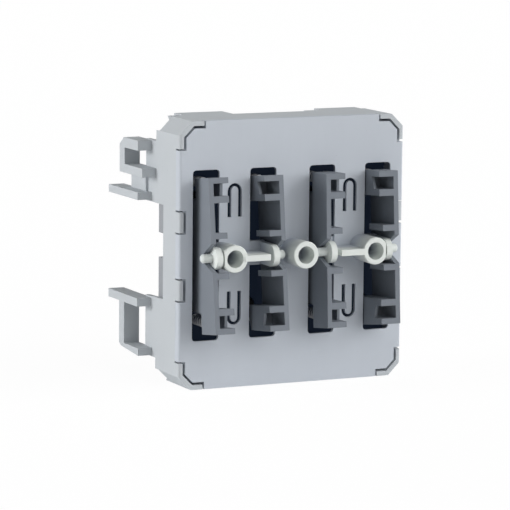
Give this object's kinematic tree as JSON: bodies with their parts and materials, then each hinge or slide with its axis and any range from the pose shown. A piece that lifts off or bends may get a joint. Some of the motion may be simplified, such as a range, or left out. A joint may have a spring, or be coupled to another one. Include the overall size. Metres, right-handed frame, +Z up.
{
  "type": "touch switch",
  "caption": "Flush touch switch mechanism: light grey moulded body with side spring clips and light tubes, dark levers rocking on pegs, shown without its key covers.",
  "frame": {"origin": "centre of the rear cover's flat back face", "axes": "+X right as seen from the front, +Y towards the wall, +Z up"},
  "size_m": [0.0504, 0.0339, 0.0486],
  "materials": {
    "shell": "light grey moulded plastic",
    "plate": "light grey moulded plastic",
    "cover": "light grey moulded plastic",
    "frame": "grey moulded plastic",
    "board": "green laminate",
    "levers": "dark grey moulded plastic",
    "springs": "drawn spring wire",
    "components": "black moulded plastic",
    "lamps": "clear lamp lens",
    "contacts": "plain"
  },
  "bodies": {
    "mechanism": {"outer_shell": "shell", "front_plate": "plate", "rear_cover": "cover", "inner_frame": "frame", "circuit_board": "board", "controller_chip": "components", "led_left": "lamps", "led_middle": "lamps", "led_right": "lamps", "bus_terminal": "components", "bus_pin_1": "contacts", "bus_pin_2": "contacts", "switch_1_upper": "components", "switch_1_lower": "components", "switch_2_upper": "components", "switch_2_lower": "components", "switch_3_upper": "components", "switch_3_lower": "components", "switch_4_upper": "components", "switch_4_lower": "components", "spring_1_upper": "springs", "spring_1_lower": "springs", "spring_2_upper": "springs", "spring_2_lower": "springs", "spring_3_upper": "springs", "spring_3_lower": "springs", "spring_4_upper": "springs", "spring_4_lower": "springs"},
    "lever_1": {"lever_1": "levers"},
    "lever_2": {"lever_2": "levers"},
    "lever_3": {"lever_3": "levers"},
    "lever_4": {"lever_4": "levers"}
  },
  "joints": [
    {"name": "lever_1_rock", "type": "hinge", "parent": "mechanism", "child": "lever_1", "pos_m": [-0.01685, -0.0197, 0], "axis": [1, 0, 0], "range_deg": [-0.5, 15.5], "stiffness_Nm_per_rad": 0.01, "deforming": ["spring_1_upper", "spring_1_lower"]},
    {"name": "lever_2_rock", "type": "hinge", "parent": "mechanism", "child": "lever_2", "pos_m": [-0.00596, -0.0197, 0], "axis": [1, 0, 0], "range_deg": [-1.2, 14.8], "stiffness_Nm_per_rad": 0.01, "deforming": ["spring_2_upper", "spring_2_lower"]},
    {"name": "lever_3_rock", "type": "hinge", "parent": "mechanism", "child": "lever_3", "pos_m": [0.00596, -0.0197, 0], "axis": [1, 0, 0], "range_deg": [-5.2, 10.8], "stiffness_Nm_per_rad": 0.01, "deforming": ["spring_3_upper", "spring_3_lower"]},
    {"name": "lever_4_rock", "type": "hinge", "parent": "mechanism", "child": "lever_4", "pos_m": [0.01685, -0.0197, 0], "axis": [1, 0, 0], "range_deg": [-4, 12], "stiffness_Nm_per_rad": 0.01, "deforming": ["spring_4_upper", "spring_4_lower"]}
  ]
}
